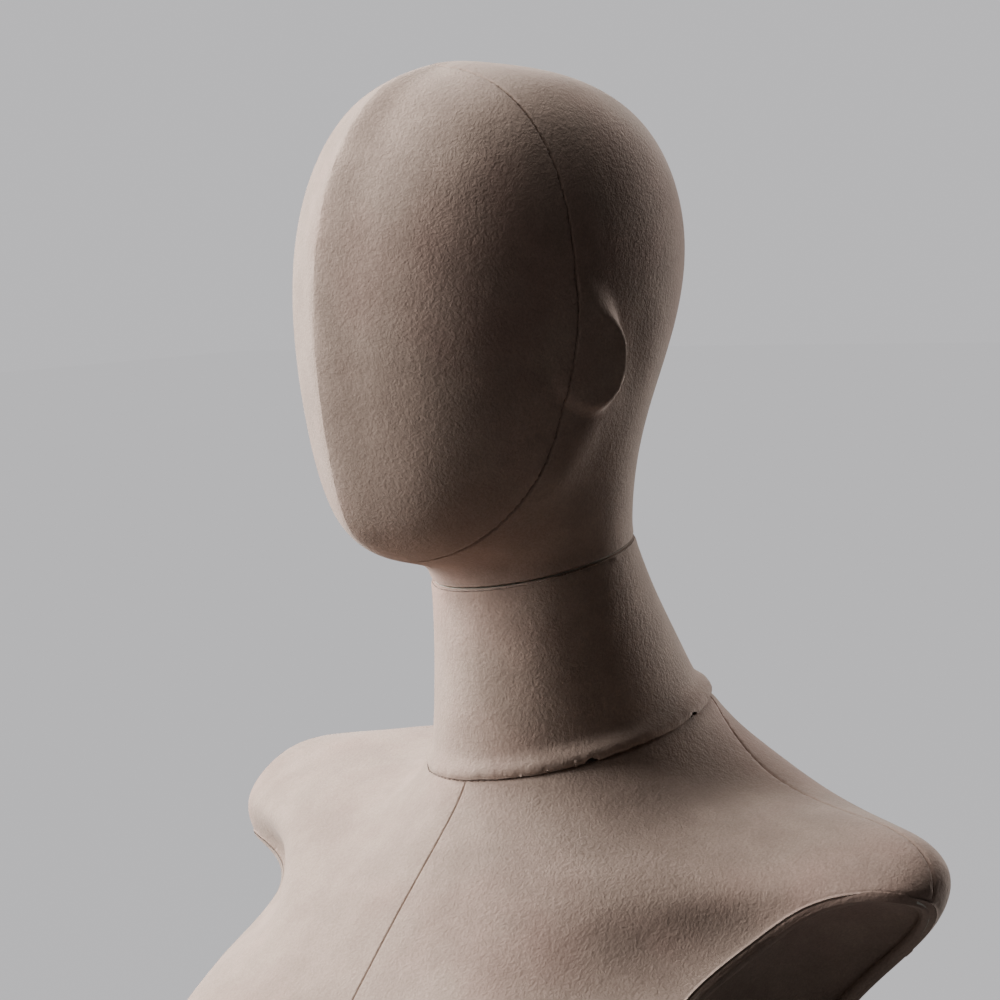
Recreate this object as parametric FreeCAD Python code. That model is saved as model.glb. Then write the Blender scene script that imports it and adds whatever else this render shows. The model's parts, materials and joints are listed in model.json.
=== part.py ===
import FreeCAD, Part
import math
import os

# Full body display mannequin, fabric covered, with a turning head and no arms.
# Millimetres. +Z up, -Y is the way the chest faces, +X is the mannequin's left.
# The origin is on the floor under the middle of the round base.

os.makedirs("parts", exist_ok=True)

Vec = FreeCAD.Vector

# ---------------------------------------------------------------- driving sizes
POINTS_AROUND = 32          # control points in one section

FABRIC = 1.2                # thickness of the stretched cover
GLUE_LINE = 0.4             # glue between the cover and the shell
SHELL = 4.0                 # wall of the glass-fibre shells
CORE_OUT = FABRIC + GLUE_LINE
CORE_IN = CORE_OUT + SHELL
FIT_GAP = 0.4               # space round a board let into a shell
SEAM_GAP = 0.4              # space between two cover panels at a seam
PART_GAP = 0.6              # space between two shells that come apart

BASE_RADIUS = 202.0
FELT = 2.0
PLATE = 8.0
BASE_TOP = FELT + PLATE
FLANGE_THICK, FLANGE_RADIUS = 5.0, 32.0
COLLAR_RADIUS, COLLAR_HEIGHT = 14.0, 26.0
FLANGE_SCREW_CIRCLE = 24.0

ROD_RADIUS = 8.0
ROD_FOOT = Vec(72, 74, BASE_TOP)
ROD_HEAD = Vec(70, 20, 430)
SOCKET_WALL = 2.0
SOCKET_LENGTH = 130.0
RUNNING_FIT = 0.05
COVER_ROD_GAP = 1.6         # space round the rod in the cover's hole
CORE_TUBE_GAP = 0.6         # space round the socket tube in the shell's hole

WAIST_Z = 1098.0
BOARD = 12.0                # plywood boards that close the shells

NECK_BASE = Vec(0, 25.0, 1491.5)
NECK_BASE_SLOPE = 0.166     # the neck's foot drops this much per mm toward the front
NECK_BASE_LEAN = 0.05       # and rises this much per mm toward the left
JOINT = Vec(0, 3.0, 1575.0)
JOINT_SLOPE = 19.2 / 94.0
JOINT_LEAN = 0.058
NECK_BOLT_X = 22.0
HEAD_TURN = -10.0           # the head looks to the mannequin's right
KEEL = 4.0                  # height of the ridge down the middle of the face

PIN_RADIUS = 6.0
PIN_COLLAR_RADIUS = 8.0
PIN_COLLAR = 3.0
PIN_INTO_NECK = 26.0
PIN_INTO_HEAD = 24.0

# The seam from the neck over the shoulder and down the side, on the left.
SHOULDER_SEAM = Vec(165, 36.5, 1454)
SHOULDER_SEAM_FRONT = Vec(-0.25, -1, 0.2)
SIDE_SEAM_Y = -3.0          # hips and legs

# The arm hollow, front to back: y, middle (x, z), half width, half height.
ARM_HOLLOW = (
    (-112, 172, 1350, 10, 12),
    (-92, 176, 1362, 46, 56),
    (-50, 184, 1368, 61, 74),
    (5, 192, 1359, 61, 74),
    (40, 198, 1350, 58, 70),
    (58, 200, 1346, 16, 18),
)
ARM_HOLLOW_DROP = 8.0       # the right hollow sits this much lower
ARM_RECESS = 2.5            # depth of the covered panel behind the hollow's rim
ARM_BOARD = 8.0

WAIST_CENTRE = Vec(0, -26, 0)
HIP_CUT = Vec(-6, 0, 792)
HIP_CUT_SLOPE = 0.55
HOOK_ALONG_CUT = 88.0       # from the crotch to the middle of the hook

# Swells and hollows pressed into the torso's sections: place, width, reach up and down, height.
BUST_X, BUST_Z = 102.0, 1340.0
BUST_WIDE, BUST_UP, BUST_DOWN, BUST_SWELL = 50.0, 50.0, 66.0, 50.0
LEFT_CORNER = (140.0, 42.0, 1410.0, 24.0, 66.0)
RIGHT_CORNER = (142.0, 46.0, 1399.0, 22.0, 92.0)
SHOULDER_LIFT = 15.5        # the right shoulder is carried higher
FOOT_STEP = 16.0            # the right foot stands in front of the left one


# ---------------------------------------------------------------- body sections
# Each section: front (y, z), side (half width, y, z), back (y, z), fullness.
TORSO = (
    ((-50, 1484.05), (58, 25, 1496.5), (100, 1508.95), 1.00),
    ((-54, 1475), (64, 26, 1487), (104, 1501.5), 1.00),
    ((-62, 1466), (71, 27, 1477), (108, 1494), 1.00),
    ((-79, 1450), (91, 28, 1464), (112, 1482), 1.00),
    ((-99, 1432), (122, 30, 1461), (115, 1470), 1.05),
    ((-116, 1415), (156, 33, 1460), (116, 1450), 1.10),
    ((-131, 1400), (189, 34, 1456), (115, 1428), 1.15),
    ((-144, 1386), (207, 32, 1440), (113, 1408), 1.15),
    ((-154, 1370), (194, 24, 1414), (111, 1388), 1.00),
    ((-161, 1352), (160, 12, 1388), (108, 1366), 0.92),
    ((-165, 1332), (138, 2, 1360), (101, 1342), 0.90),
    ((-164, 1308), (135, -6, 1330), (95, 1316), 0.90),
    ((-158, 1280), (136, -12, 1294), (88, 1288), 0.92),
    ((-147, 1250), (142, -17, 1256), (84, 1254), 0.94),
    ((-134, 1215), (132, -22, 1216), (74, 1216), 0.96),
    ((-121, 1175), (123, -24, 1175), (64, 1175), 0.98),
    ((-112, 1135), (116, -27, 1135), (57, 1135), 0.98),
    ((-107, 1100), (113, -27, 1100), (54, 1100), 0.98),
    ((-106, 1086), (114, -27, 1086), (54, 1086), 0.98),
)
NECK = (
    ((-56, 1468.75), (62, 25, 1482.2), (106, 1495.65), 1.00),
    ((-52, 1478), (60, 25, 1491), (101, 1504), 1.00),
    ((-50, 1487), (57, 22, 1499), (95, 1513), 1.00),
    ((-49, 1505), (53, 17, 1518), (83, 1534), 1.00),
    ((-47, 1528), (50, 10, 1540), (69, 1555), 1.00),
    ((-45, 1547), (49, 6, 1559), (58, 1573), 1.00),
    ((-44, 1565.4), (49, 3, 1575), (50, 1584.6), 1.00),
    ((-46, 1574.4), (49, 1, 1584), (48, 1593.6), 1.00),
)
HEAD = (
    ((-43, 1557.5), (49, 5, 1567.3), (53, 1577.1), 1.00),
    ((-44, 1566), (49, 3, 1576), (49, 1585), 1.00),
    ((-46, 1572), (50, 3, 1584), (48, 1595), 1.00),
    ((-55, 1577), (54, 1, 1596), (47, 1611), 1.00),
    ((-76, 1581), (59, -2, 1612), (49, 1632), 1.00),
    ((-95, 1591), (65, -6, 1632), (57, 1655), 1.00),
    ((-105, 1613), (71, -11, 1655), (70, 1681), 0.96),
    ((-111, 1645), (75, -15, 1682), (80, 1706), 0.95),
    ((-115, 1681), (77, -17, 1712), (81, 1732), 0.95),
    ((-114, 1718), (76, -20, 1743), (73, 1757), 0.96),
    ((-105, 1753), (69, -23, 1770), (59, 1777), 0.98),
    ((-87, 1781), (57, -26, 1789), (38, 1791), 1.00),
    ((-65, 1797), (37, -29, 1800), (10, 1801), 1.00),
    ((-47, 1804), (16, -33, 1804), (-19, 1804), 1.00),
    ((-36, 1805), (3, -33, 1805), (-30, 1805), 1.00),
)
PELVIS = (
    ((-106, 1110), (114, -27, 1110), (54, 1110), 0.98),
    ((-107, 1085), (115, -27, 1085), (55, 1085), 0.98),
    ((-108, 1050), (124, -25, 1050), (62, 1050), 0.97),
    ((-110, 1010), (139, -20, 1010), (75, 1010), 0.96),
    ((-112, 965), (155, -14, 965), (90, 965), 0.95),
    ((-112, 920), (165, -9, 920), (101, 920), 0.94),
    ((-110, 880), (167, -6, 880), (107, 880), 0.92),
    ((-102, 846), (158, -5, 850), (104, 846), 0.90),
    ((-84, 816), (132, -4, 826), (92, 818), 0.90),
    ((-56, 797), (84, 0, 804), (66, 798), 0.95),
    ((-24, 788), (32, 2, 790), (28, 788), 1.00),
    ((-6, 787), (8, 2, 787), (10, 787), 1.00),
)
# A leg's sections, with the sideways place of their middle at the end.
LEG = (
    ((-70, 950), (58, -5, 950), (60, 950), 1.00, 84),
    ((-98, 905), (78, -4, 905), (90, 905), 0.96, 84),
    ((-104, 860), (82, -4, 860), (96, 860), 0.95, 85),
    ((-102, 800), (81, -6, 800), (86, 800), 0.95, 84),
    ((-97, 720), (74, -10, 720), (70, 720), 0.97, 80),
    ((-89, 630), (65, -12, 630), (55, 630), 0.98, 76),
    ((-77, 540), (56, -13, 540), (45, 540), 1.00, 73),
    ((-67, 480), (53, -12, 480), (42, 480), 1.00, 72),
    ((-56, 430), (50, -6, 430), (48, 430), 1.00, 72),
    ((-46, 365), (53, 4, 365), (62, 365), 1.00, 73),
    ((-39, 300), (49, 8, 300), (58, 300), 1.00, 73),
    ((-31, 225), (38, 8, 225), (44, 225), 1.00, 71),
    ((-27, 160), (31, 6, 160), (35, 160), 1.00, 70),
    ((-30, 120), (30, 3, 116), (38, 112), 1.00, 70),
    ((-40, 99), (31, -3, 93), (43, 84), 1.00, 71),
    ((-54, 83), (33, -16, 71), (37, 60), 1.00, 72),
    ((-74, 66), (36, -38, 51), (8, 42), 1.00, 74),
    ((-94, 50), (41, -64, 36), (-30, 26), 1.00, 76),
    ((-113, 38), (44, -88, 26), (-62, 15), 1.00, 77),
    ((-131, 30), (41, -110, 21), (-89, 12), 1.00, 77),
    ((-147, 25), (31, -131, 18), (-115, 12), 1.00, 75),
    ((-156, 19), (14, -149, 16), (-141, 13), 1.00, 73),
    ((-157, 17), (4, -154, 15), (-151, 13), 1.00, 73),
)


# ---------------------------------------------------------------- warps
def bell(distance, width):
    return math.exp(-(distance / width) ** 2)


def ramp(value, low, high):
    return min(1.0, max(0.0, (value - low) / (high - low)))


def bust_and_shoulders(p):
    """Breasts, the hollows between breast and shoulder, and the higher right shoulder."""
    y, z = p.y, p.z
    if p.y < 0 and 1150 < p.z < 1460:
        above = BUST_UP if p.z > BUST_Z else BUST_DOWN
        for side in (-1, 1):
            y -= BUST_SWELL * bell(p.x - side * BUST_X, BUST_WIDE) * bell(p.z - BUST_Z, above)
    if p.y < 0 and p.z < 1470:
        middle, wide, height, tall, depth = LEFT_CORNER if p.x > 0 else RIGHT_CORNER
        y += depth * bell(abs(p.x) - middle, wide) * bell(p.z - height, tall)
    if p.x < 0:
        outward = ramp(-p.x, 58, 118)
        z += SHOULDER_LIFT * ramp(p.z, 1330, 1410) * outward * outward * (3 - 2 * outward)
    if p.z > 1440:
        z += NECK_BASE_LEAN * p.x * (1 - ramp(abs(p.x), 58, 96))
    return Vec(p.x, y, z)


def stride(p):
    return Vec(p.x, p.y - FOOT_STEP * max(0.0, (900.0 - p.z) / 900.0), p.z)


def neck_lean(p):
    """Tips the neck's rings sideways, from the lean of its foot to the lean of the joint."""
    share = ramp(p.z, 1505, 1565)
    return Vec(p.x, p.y, p.z + p.x * (NECK_BASE_LEAN + (JOINT_LEAN - NECK_BASE_LEAN) * share))


def head_lean(p):
    """Tips the foot of the head with the joint and leaves the face upright."""
    return Vec(p.x, p.y, p.z + p.x * JOINT_LEAN * ramp(-p.z, -1660, -1600))


# ---------------------------------------------------------------- smooth hulls
def section(front, side, back, fullness, middle=0.0, mirror=1):
    """Control points of one closed section, starting at the front, going to the left."""
    half_width, side_y, side_z = side
    points = []
    for i in range(POINTS_AROUND):
        angle = 2 * math.pi * i / POINTS_AROUND
        s, c = math.sin(angle), math.cos(angle)
        end_y, end_z = front if c >= 0 else back
        reach = abs(c) ** fullness
        x = middle * mirror + half_width * math.copysign(abs(s) ** fullness, s)
        points.append(Vec(x, side_y + (end_y - side_y) * reach, side_z + (end_z - side_z) * reach))
    return points


def control_net(sections, warp=None, mirror=1):
    net = [section(*row, mirror=mirror) for row in sections]
    if warp:
        net = [[warp(p) for p in ring] for ring in net]
    return net


def middle_of(ring):
    total = Vec(0, 0, 0)
    for p in ring:
        total = total + p
    return total * (1.0 / len(ring))


def ring_normal(net, end):
    """Direction out of the hull through its first (0) or last (-1) section."""
    inner = 1 if end == 0 else -2
    ring = net[end]
    quarter = len(ring) // 4
    centre = middle_of(ring)
    normal = (ring[0] - centre).cross(ring[quarter] - centre)
    normal.normalize()
    if normal.dot(centre - middle_of(net[inner])) < 0:
        normal = normal * -1
    return normal


def net_normal(net, i, j):
    ring = net[i]
    around = ring[(j + 1) % len(ring)] - ring[j - 1]
    along = net[min(i + 1, len(net) - 1)][j] - net[max(i - 1, 0)][j]
    normal = around.cross(along)
    normal.normalize()
    return normal


def inset_net(net, depth, closed_end):
    """The same net, moved into the body by depth. A closed end is moved in as a whole."""
    last = len(net) - 1
    half_way = len(net) // 2
    outward = 1 if net_normal(net, half_way, 0).dot(net[half_way][0] - middle_of(net[half_way])) > 0 else -1
    moved = []
    for i in range(len(net)):
        ring = []
        for j, p in enumerate(net[i]):
            normal = net_normal(net, i, j) * outward
            if i == last and closed_end:
                normal = ring_normal(net, last)
            elif i in (0, last):
                end_normal = ring_normal(net, i)
                normal = normal - end_normal * normal.dot(end_normal)
                normal.normalize()
            ring.append(p - normal * depth)
        moved.append(ring)
    return moved


def surface_of(net):
    rows, count = len(net), len(net[0])
    surface = Part.BSplineSurface()
    around_knots = [float(k) for k in range(count + 1)]
    along_knots = [float(k) for k in range(rows - 2)]
    along_mults = [4] + [1] * (rows - 4) + [4]
    surface.buildFromPolesMultsKnots(
        [[net[i][j] for i in range(rows)] for j in range(count)],
        [1] * (count + 1), along_mults, around_knots, along_knots, True, False, 3, 3)
    return surface


def hull(net):
    """Closed solid inside the smooth surface of a net, with a flat face at each end."""
    side = surface_of(net).toShape()
    caps = [Part.Face(Part.Wire(edge)) for edge in side.Edges if edge.isClosed() and not edge.isSeam(side)]
    shell = Part.makeShell([side] + caps)
    shell.sewShape()
    solid = Part.makeSolid(shell)
    solid.fix(1e-6, 1e-6, 1e-6)
    return solid


# ---------------------------------------------------------------- cutting tools
BIG = 3000.0
SLIVER = 5.0


def half_space(point, outward):
    """A very large block whose flat face passes through point and lies on the outward side."""
    block = Part.makeBox(BIG, BIG, BIG, Vec(-BIG / 2, -BIG / 2, 0))
    turn = FreeCAD.Rotation(Vec(0, 0, 1), outward)
    block.Placement = FreeCAD.Placement(point, turn)
    return block


def keep(shape, *tools):
    for tool in tools:
        shape = shape.common(tool)
    return shape


def hollow(outer, inner):
    """A closed wall between two nested solids."""
    inside = inner.Shells[0].copy()
    inside.reverse()
    return Part.makeSolid(Part.makeCompound([outer.Shells[0], inside]))


def slab(point, normal, thickness):
    """Everything from the plane through point to thickness beyond it."""
    return half_space(point, normal).cut(half_space(point + normal * thickness, normal))


def rod(radius, start, axis, length):
    return Part.makeCylinder(radius, length, start, axis)


def bar(size_x, size_y, bottom, top, centre=Vec(0, 0, 0)):
    corner = Vec(centre.x - size_x / 2, centre.y - size_y / 2, bottom)
    return Part.makeBox(size_x, size_y, top - bottom, corner)


def hexagon(radius, height, place):
    corners = [place + Vec(radius * math.cos(math.pi * k / 3), radius * math.sin(math.pi * k / 3), 0)
               for k in range(7)]
    return Part.Face(Part.makePolygon(corners)).extrude(Vec(0, 0, height))


def unit(vector):
    result = Vec(vector)
    result.normalize()
    return result


def write(name, shape):
    """Saves a piece without the slivers (in mm3) that a cut can leave."""
    solids = [s for s in shape.Solids if s.Volume > SLIVER]
    kept = solids[0] if len(solids) == 1 else Part.makeCompound(solids)
    kept.exportStep("parts/" + name + ".step")
    print(name, len(solids), kept.isValid(), round(kept.Volume))


NECK_BASE_UP = unit(Vec(-NECK_BASE_LEAN, -NECK_BASE_SLOPE, 1))
NECK_UP = unit(Vec(-JOINT_LEAN, -JOINT_SLOPE, 1))
ROD_UP = unit(ROD_HEAD - ROD_FOOT)
ROD_LENGTH = (ROD_HEAD - ROD_FOOT).Length
LEG_SLIDE = unit(Vec(-1, 0, HIP_CUT_SLOPE))
LEG_OUT = unit(Vec(-HIP_CUT_SLOPE, 0, -1))
DEPTHS = (0.0, FABRIC, CORE_OUT, CORE_IN, CORE_IN + FIT_GAP)


# ---------------------------------------------------------------- nested hulls
def lower_hull(depth):
    """Hips and both legs as one smooth body."""
    whole = hull(inset_net(control_net(PELVIS), depth, True))
    for mirror, warp in ((1, None), (-1, stride)):
        whole = whole.fuse(hull(inset_net(control_net(LEG, warp, mirror), depth, True)))
    return whole.Solids[0]


def upper_hull(depth):
    return hull(inset_net(control_net(TORSO, bust_and_shoulders), depth, False))


def neck_hull(depth):
    return hull(inset_net(control_net(NECK, neck_lean), depth, False))


def head_hull(depth):
    net = control_net(HEAD, head_lean)
    for i in range(5, len(net) - 1):
        ridge = KEEL if i < len(net) - 3 else KEEL / 2
        out = net_normal(net, i, 0)
        out = out if out.y < 0 else out * -1
        net[i][0] = net[i][0] + out * ridge
    solid = hull(inset_net(net, depth, True))
    solid.rotate(JOINT, NECK_UP, HEAD_TURN)
    return solid


LOWER = {depth: lower_hull(depth) for depth in DEPTHS}
UPPER = {depth: upper_hull(depth) for depth in DEPTHS}
NECKS = {depth: neck_hull(depth) for depth in DEPTHS}
HEADS = {depth: head_hull(depth) for depth in DEPTHS}
LET_IN = CORE_IN + FIT_GAP


def walls(hulls):
    """The fabric cover and the shell under it, each as one closed wall."""
    return hollow(hulls[0.0], hulls[FABRIC]), hollow(hulls[CORE_OUT], hulls[CORE_IN])


def both_sides(point, direction):
    """The two half spaces on either side of a seam, with the seam's gap between them."""
    shift = direction * (SEAM_GAP / 2)
    return half_space(point + shift, direction), half_space(point - shift, direction * -1)


# ---------------------------------------------------------------- base and rod
def base():
    write("base_felt", Part.makeCylinder(BASE_RADIUS - 5, FELT))
    plate = Part.makeCylinder(BASE_RADIUS, PLATE, Vec(0, 0, FELT))
    plate = plate.makeChamfer(1.5, [e for e in plate.Edges if e.BoundBox.ZMin > BASE_TOP - 0.1])

    above_base = half_space(Vec(0, 0, BASE_TOP), Vec(0, 0, 1))
    below_foot = ROD_FOOT - ROD_UP * 30
    support = keep(rod(ROD_RADIUS, below_foot, ROD_UP, ROD_LENGTH + 30), above_base)
    write("support_rod", support)

    flange = Part.makeCylinder(FLANGE_RADIUS, FLANGE_THICK, ROD_FOOT)
    collar = keep(rod(COLLAR_RADIUS, below_foot, ROD_UP, 30 + COLLAR_HEIGHT), above_base)
    flange = flange.fuse(collar).cut(rod(ROD_RADIUS, below_foot, ROD_UP, 100))

    screws = []
    for i in range(3):
        angle = math.radians(90 + 120 * i)
        place = ROD_FOOT + Vec(math.cos(angle), math.sin(angle), 0) * FLANGE_SCREW_CIRCLE
        hole = Part.makeCylinder(2.5, 6 + FLANGE_THICK, place - Vec(0, 0, 6))
        flange = flange.cut(hole)
        plate = plate.cut(hole)
        head = Part.makeCylinder(4.5, 3, place + Vec(0, 0, FLANGE_THICK))
        head = head.cut(hexagon(1.6, 2, place + Vec(0, 0, FLANGE_THICK + 1)))
        screws.append(head.fuse(hole))
    write("rod_flange", flange)
    write("rod_flange_screws", Part.makeCompound(screws))
    write("base_plate", plate)


def screw(place, axis, shank, length, head_radius=3.5, head_height=2.4):
    """A pan-head wood screw: place is under the head, axis points to the tip."""
    body = rod(shank, place, axis, length)
    head = rod(head_radius, place - axis * head_height, axis, head_height)
    return body.fuse(head)


def screw_ring(name, centre, axis, across, ring_radius, count, length, *boards):
    """Screws in a circle. Returns the boards with the screws' holes in them."""
    other = axis.cross(across)
    screws = []
    boards = list(boards)
    for i in range(count):
        angle = 2 * math.pi * (i + 0.5) / count
        place = centre + across * (ring_radius * math.cos(angle)) + other * (ring_radius * math.sin(angle))
        screws.append(screw(place, axis, 1.8, length))
        boards = [board.cut(rod(1.8, place, axis, length)) for board in boards]
    write(name, Part.makeCompound(screws))
    return boards


# ---------------------------------------------------------------- hips and legs
def right_leg_space(gap):
    """The space below the cut through the right thigh. gap is kept clear at the cut."""
    below = half_space(HIP_CUT + LEG_OUT * gap, LEG_OUT)
    return below.common(half_space(Vec(-0.3, 0, 0), Vec(-1, 0, 0)))


def hips_and_legs():
    cover, core = walls(LOWER)
    below_waist = half_space(Vec(0, 0, WAIST_Z - PART_GAP / 2), Vec(0, 0, -1))
    front, back = both_sides(Vec(0, SIDE_SEAM_Y, 0), Vec(0, -1, 0))
    below_calf = ROD_FOOT + ROD_UP * 140
    rod_hole = rod(ROD_RADIUS + COVER_ROD_GAP, below_calf, ROD_UP, 180)
    tube_hole = rod(ROD_RADIUS + SOCKET_WALL + CORE_TUBE_GAP, below_calf, ROD_UP, 180)
    left_side = half_space(Vec(0.3, 0, 0), Vec(1, 0, 0))
    below_seam, above_seam = both_sides(Vec(-HIP_CUT.x, 0, HIP_CUT.z), unit(Vec(HIP_CUT_SLOPE, 0, -1)))

    cover = keep(cover, below_waist)
    right_cover = keep(cover, right_leg_space(PART_GAP / 2))
    hip_cover = cover.cut(right_leg_space(-PART_GAP / 2))
    left_cover = keep(hip_cover, left_side, below_seam).cut(rod_hole)
    hip_cover = keep(hip_cover, above_seam.fuse(half_space(Vec(0.3, 0, 0), Vec(-1, 0, 0))))
    for name, piece in (("hip_cover", hip_cover), ("left_leg_cover", left_cover),
                        ("right_leg_cover", right_cover)):
        write(name + "_front", keep(piece, front))
        write(name + "_back", keep(piece, back))

    core = keep(core, below_waist)
    write("right_leg_core", keep(core, right_leg_space(PART_GAP / 2)))
    write("hip_and_left_leg_core", core.cut(right_leg_space(-PART_GAP / 2)).cut(tube_hole))

    calf_fitting()
    hip_hook()


def calf_fitting():
    """Steel tube in the left calf that drops over the rod until its cap rests on the rod's end."""
    bore, outside = ROD_RADIUS + RUNNING_FIT, ROD_RADIUS + SOCKET_WALL
    start = ROD_FOOT + ROD_UP * (ROD_LENGTH - SOCKET_LENGTH)
    tube = rod(outside, start, ROD_UP, SOCKET_LENGTH).cut(rod(bore, start, ROD_UP, SOCKET_LENGTH))
    cap = rod(outside, ROD_FOOT + ROD_UP * ROD_LENGTH, ROD_UP, 4)
    inside = LOWER[LET_IN].common(half_space(Vec(0.3, 0, 0), Vec(1, 0, 0)))
    block = keep(inside, slab(Vec(0, 0, 335), Vec(0, 0, 1), 60)).cut(rod(outside, start, ROD_UP, 200))
    write("calf_socket_tube", tube)
    write("calf_socket_cap", cap)
    write("calf_block", block)


def hip_hook():
    """Two boards that close the cut thigh, and a headed stud that hangs in a keyhole plate."""
    middle = HIP_CUT + LEG_SLIDE * HOOK_ALONG_CUT + Vec(0, -4, 0)
    across = Vec(0, 1, 0)
    half = PART_GAP / 2
    stud_radius, head_radius, plate_thick, travel = 5.0, 9.0, 3.0, 50.0
    right_side = half_space(Vec(-0.3, 0, 0), Vec(-1, 0, 0))
    near_cut = Part.makeCylinder(80, 60, middle - LEG_OUT * 30, LEG_OUT)
    inner = keep(LOWER[LET_IN], right_side, near_cut)
    hip_board = keep(inner, slab(middle - LEG_OUT * half, LEG_OUT * -1, BOARD))
    leg_board = keep(inner, slab(middle + LEG_OUT * half, LEG_OUT, BOARD))

    def plate_at(depth_from, depth_to, half_width, low, high):
        """A block in the cut's own axes: along LEG_SLIDE, across it, and out of the hip."""
        block = Part.makeBox(high - low, 2 * half_width, depth_to - depth_from)
        frame = FreeCAD.Matrix(
            LEG_SLIDE.x, across.x, LEG_OUT.x, 0, LEG_SLIDE.y, across.y, LEG_OUT.y, 0,
            LEG_SLIDE.z, across.z, LEG_OUT.z, 0, 0, 0, 0, 1)
        corner = middle + LEG_SLIDE * low - across * half_width + LEG_OUT * depth_from
        block.Placement = FreeCAD.Placement(frame)
        block.translate(corner)
        return block

    seat = -15.0
    plate = plate_at(-half - plate_thick, -half, 26, seat - 22, seat + travel + 22)
    pocket = plate.copy()
    slot = plate_at(-half - plate_thick, -half, stud_radius + 0.1, seat, seat + travel)
    plate_back = middle - LEG_OUT * (half + plate_thick)
    slot = slot.fuse(rod(stud_radius + 0.1, plate_back + LEG_SLIDE * seat, LEG_OUT, plate_thick))
    way_out = plate_back + LEG_SLIDE * (seat + travel)
    slot = slot.fuse(rod(head_radius + 1, way_out, LEG_OUT, plate_thick))
    cavity = plate_at(-half - 9.5, -half - plate_thick, head_radius + 2, seat - 12, seat + travel + 14)
    plate = plate.cut(slot)
    hip_board = hip_board.cut(pocket).cut(cavity)

    foot = middle + LEG_SLIDE * seat
    flange = rod(18, foot + LEG_OUT * half, LEG_OUT, plate_thick)
    reach = half + plate_thick + 0.4
    stud = rod(stud_radius, foot - LEG_OUT * reach, LEG_OUT, reach + half)
    stud_head = rod(head_radius, foot - LEG_OUT * (half + plate_thick + 3.4), LEG_OUT, 3)
    leg_board = leg_board.cut(flange)
    hook = flange.fuse(stud).fuse(stud_head)

    write("hip_keyhole_plate", plate)
    write("hip_hook_stud", hook)
    write("hip_board", hip_board)
    write("right_thigh_board", leg_board)


# ---------------------------------------------------------------- waist joint
def waist():
    centre = WAIST_CENTRE
    lower_top, upper_bottom = WAIST_Z - PART_GAP / 2, WAIST_Z + PART_GAP / 2
    peg, side_fit, tube_wall, peg_reach = 25.0, 0.1, 2.5, 80.0
    tube_in = peg + 2 * side_fit
    tube_out = tube_in + 2 * tube_wall
    lower_board = keep(LOWER[LET_IN], slab(Vec(0, 0, lower_top - BOARD), Vec(0, 0, 1), BOARD))
    lower_board = lower_board.cut(bar(tube_out, tube_out, lower_top - BOARD, lower_top, centre))
    socket = bar(tube_out, tube_out, lower_top - 95, lower_top, centre)
    socket = socket.cut(bar(tube_in, tube_in, lower_top - 92, lower_top, centre))
    flange = bar(70, 70, lower_top - BOARD - 3, lower_top - BOARD, centre)
    socket = socket.fuse(flange.cut(bar(tube_in, tube_in, lower_top - 92, lower_top, centre)))
    under_flange = centre + Vec(0, 0, lower_top - BOARD - 3)
    socket, lower_board = screw_ring("waist_socket_screws", under_flange, Vec(0, 0, 1), Vec(1, 0, 0),
                                     36, 4, 12, socket, lower_board)
    write("waist_socket", socket)
    write("waist_board_lower", lower_board)

    upper_board = keep(UPPER[LET_IN], slab(Vec(0, 0, upper_bottom), Vec(0, 0, 1), BOARD))
    upper_board = upper_board.cut(bar(peg, peg, upper_bottom, upper_bottom + BOARD, centre))
    bar_shape = bar(peg, peg, lower_top - peg_reach, upper_bottom + BOARD, centre)
    bar_shape = bar_shape.fuse(bar(70, 70, upper_bottom + BOARD, upper_bottom + BOARD + 4, centre))
    over_flange = centre + Vec(0, 0, upper_bottom + BOARD + 4)
    bar_shape, upper_board = screw_ring("waist_peg_screws", over_flange, Vec(0, 0, -1), Vec(1, 0, 0),
                                        36, 4, 14, bar_shape, upper_board)
    write("waist_peg", bar_shape)
    write("waist_board_upper", upper_board)


# ---------------------------------------------------------------- torso
def arm_hollow(side, extra=0.0):
    """The oval hollow left where an arm would be, as a rounded plug beside the chest."""
    drop = ARM_HOLLOW_DROP if side < 0 else 0.0
    net = []
    for y, x, z, wide, tall in ARM_HOLLOW:
        angles = [2 * math.pi * i / POINTS_AROUND for i in range(POINTS_AROUND)]
        net.append([Vec(side * (x + wide * math.sin(a)), y, z - drop + tall * math.cos(a)) for a in angles])
    plug = hull(inset_net(net, -extra, False))
    if plug.Volume < 0:
        plug.reverse()
    return plug


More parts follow.
